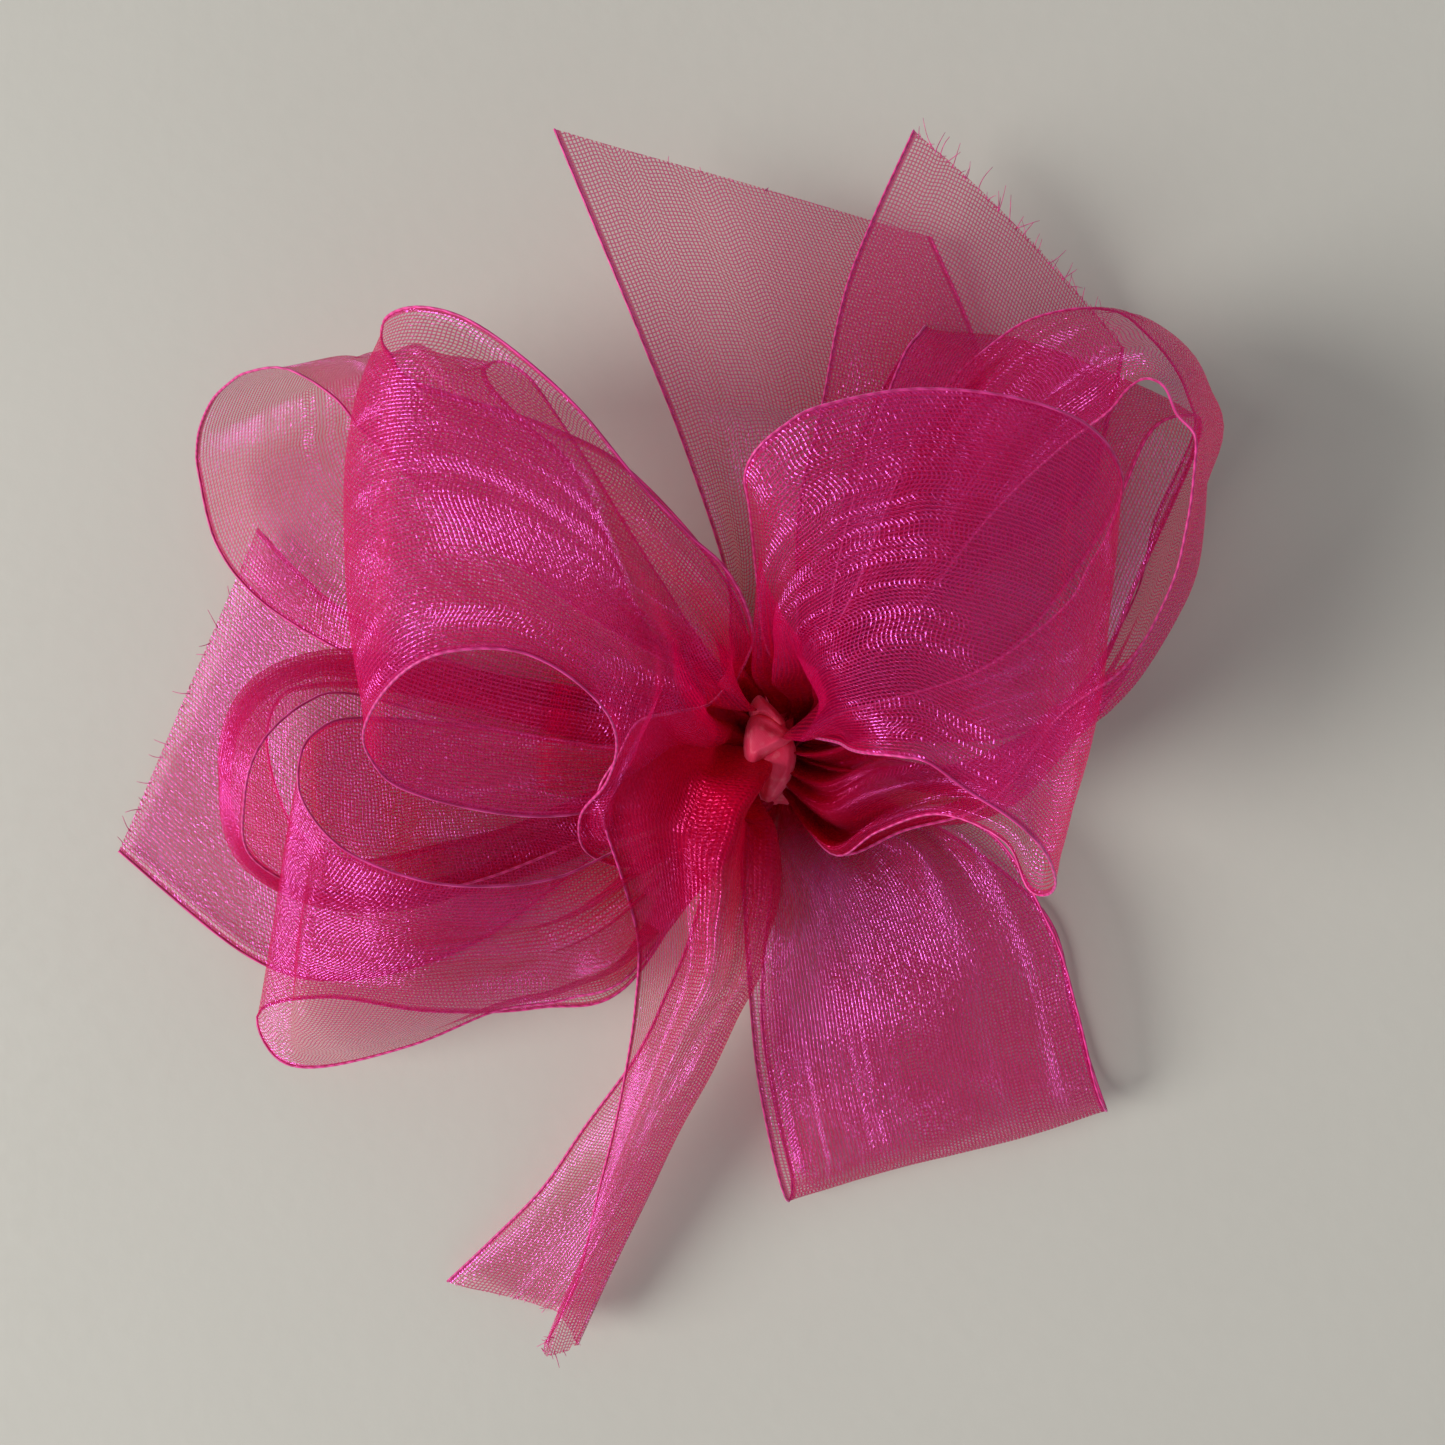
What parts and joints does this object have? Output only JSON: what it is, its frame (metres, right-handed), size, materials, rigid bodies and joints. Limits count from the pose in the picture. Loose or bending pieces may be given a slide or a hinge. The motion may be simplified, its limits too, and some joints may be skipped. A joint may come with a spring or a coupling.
{
  "type": "gift bow",
  "caption": "Ready-made gift bow of sheer pink organza ribbon: gathered loops and cut tails held at the waist by a knotted satin band.",
  "frame": {"origin": "middle of the flat back of the satin band, where the bow rests on a present or a table", "axes": "+Z out of the front, through the knot; +X along the waist, from the left loops to the right loops; +Y towards the two upper tails"},
  "size_m": [0.1237, 0.1355, 0.0443],
  "materials": {
    "organza": "sheer weave with a sparkle",
    "organza_gathered": "many sheer layers pressed together",
    "satin": "satin",
    "thread": "twisted thread"
  },
  "bodies": {
    "waist": {"gathered_waist": "organza_gathered", "binding_thread": "thread", "satin_wrap": "satin", "satin_knot": "satin"},
    "loop_front_left_body": {"loop_front_left": "organza"},
    "loop_back_left_body": {"loop_back_left": "organza"},
    "loop_small_left_body": {"loop_small_left": "organza"},
    "loop_lower_left_body": {"loop_lower_left": "organza"},
    "loop_lower_right_body": {"loop_lower_right": "organza"},
    "loop_front_right_body": {"loop_front_right": "organza"},
    "loop_back_right_body": {"loop_back_right": "organza"},
    "loop_under_right_body": {"loop_under_right": "organza"},
    "tail_upper_left_body": {"tail_upper_left": "organza"},
    "tail_upper_right_body": {"tail_upper_right": "organza"},
    "tail_left_body": {"tail_left": "organza"},
    "tail_bottom_body": {"tail_bottom": "organza"}
  },
  "joints": [
    {"name": "loop_front_left_lift", "type": "hinge", "parent": "waist", "child": "loop_front_left_body", "pos_m": [-0.0046, 0.0025, 0.01], "axis": [0.6247, 0.7809, 0], "range_deg": [-2, 5], "stiffness_Nm_per_rad": 0.01},
    {"name": "loop_back_left_lift", "type": "hinge", "parent": "waist", "child": "loop_back_left_body", "pos_m": [-0.0046, 0.0046, 0.006], "axis": [0.5735, 0.8192, 0], "range_deg": [0, 3], "stiffness_Nm_per_rad": 0.01},
    {"name": "loop_small_left_lift", "type": "hinge", "parent": "waist", "child": "loop_small_left_body", "pos_m": [-0.0046, 0, 0.004], "axis": [0, 1, 0], "range_deg": [0, 3], "stiffness_Nm_per_rad": 0.01},
    {"name": "loop_lower_left_lift", "type": "hinge", "parent": "waist", "child": "loop_lower_left_body", "pos_m": [-0.0046, -0.002, 0.007], "axis": [-0.4472, 0.8944, 0], "range_deg": [0, 4], "stiffness_Nm_per_rad": 0.01},
    {"name": "loop_lower_right_lift", "type": "hinge", "parent": "waist", "child": "loop_lower_right_body", "pos_m": [0.0046, -0.004, 0.003], "axis": [-0.9285, -0.3714, 0], "range_deg": [0, 6], "stiffness_Nm_per_rad": 0.01},
    {"name": "loop_front_right_lift", "type": "hinge", "parent": "waist", "child": "loop_front_right_body", "pos_m": [0.0046, 0, 0.01], "axis": [0.5812, -0.8137, 0], "range_deg": [-1.5, 5], "stiffness_Nm_per_rad": 0.01},
    {"name": "loop_back_right_lift", "type": "hinge", "parent": "waist", "child": "loop_back_right_body", "pos_m": [0.0046, 0.001, 0.007], "axis": [0.5735, -0.8192, 0], "range_deg": [0, 3], "stiffness_Nm_per_rad": 0.01},
    {"name": "loop_under_right_lift", "type": "hinge", "parent": "waist", "child": "loop_under_right_body", "pos_m": [0.0046, 0.0015, 0.004], "axis": [0.7071, -0.7071, 0], "range_deg": [0, 2], "stiffness_Nm_per_rad": 0.01},
    {"name": "tail_upper_left_swing", "type": "hinge", "parent": "waist", "child": "tail_upper_left_body", "pos_m": [-0.0046, 0.0042, 0.0014], "axis": [0, 0, 1], "range_deg": [-4, 8], "stiffness_Nm_per_rad": 0.01},
    {"name": "tail_upper_right_swing", "type": "hinge", "parent": "waist", "child": "tail_upper_right_body", "pos_m": [0.0046, 0.0042, 0.0026], "axis": [0, 0, 1], "range_deg": [-3, 5], "stiffness_Nm_per_rad": 0.01},
    {"name": "tail_left_swing", "type": "hinge", "parent": "waist", "child": "tail_left_body", "pos_m": [-0.0046, 0, 0.0012], "axis": [0, 0, 1], "range_deg": [-5, 8], "stiffness_Nm_per_rad": 0.01},
    {"name": "tail_bottom_lift", "type": "hinge", "parent": "waist", "child": "tail_bottom_body", "pos_m": [-0.0046, -0.0028, 0.0103], "axis": [-0.9806, 0.1961, 0], "range_deg": [0, 12], "stiffness_Nm_per_rad": 0.01}
  ]
}
